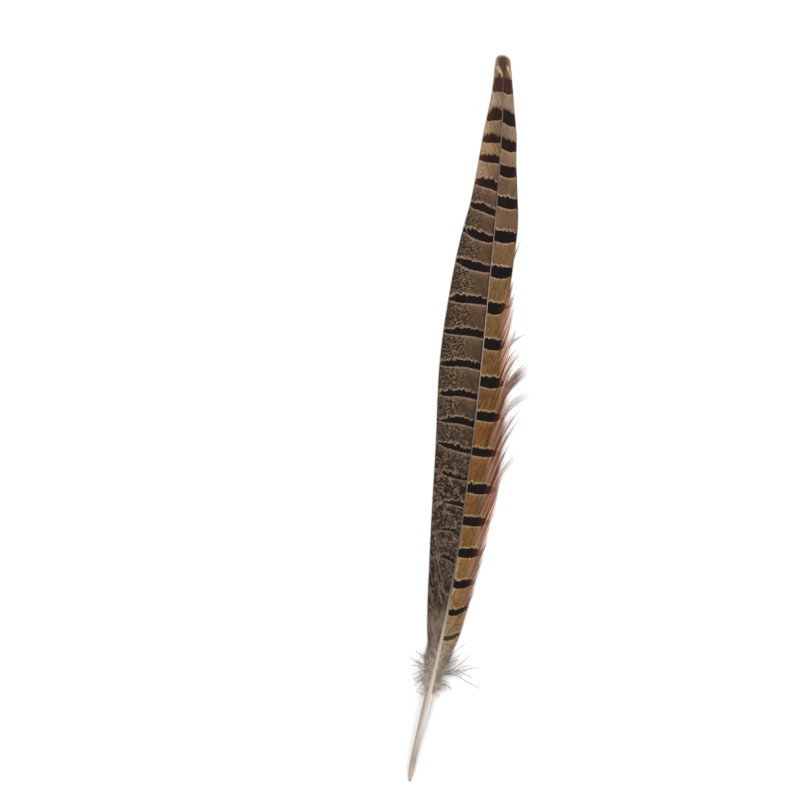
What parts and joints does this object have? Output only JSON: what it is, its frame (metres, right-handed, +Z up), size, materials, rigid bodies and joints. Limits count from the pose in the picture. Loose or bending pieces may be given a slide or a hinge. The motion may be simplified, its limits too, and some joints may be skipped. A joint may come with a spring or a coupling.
{
  "type": "pheasant tail feather",
  "caption": "Long pointed barred tail feather with a wide inner vane, a narrow fringed outer vane, basal down and a bare quill, lying flat.",
  "frame": {"origin": "centre of the feather's bounding box in plan, on the surface that it lies on", "axes": "+Y along the feather from the quill's end to the tip, +Z up out of the feather's upper side, +X towards the narrow outer vane"},
  "size_m": [0.0382, 0.28, 0.0045],
  "materials": {
    "quill_horn": "satin natural horn",
    "inner_barbs": "barred and speckled brown barbs with a soft silky sheen",
    "outer_barbs": "tan barbs with black bars and a rust-pink fringe, soft silky sheen",
    "down": "loose grey down"
  },
  "bodies": {
    "root": {"shaft": "quill_horn", "inner_vane": "inner_barbs", "outer_vane": "outer_barbs", "inner_down": "down", "outer_down": "down"}
  },
  "joints": []
}
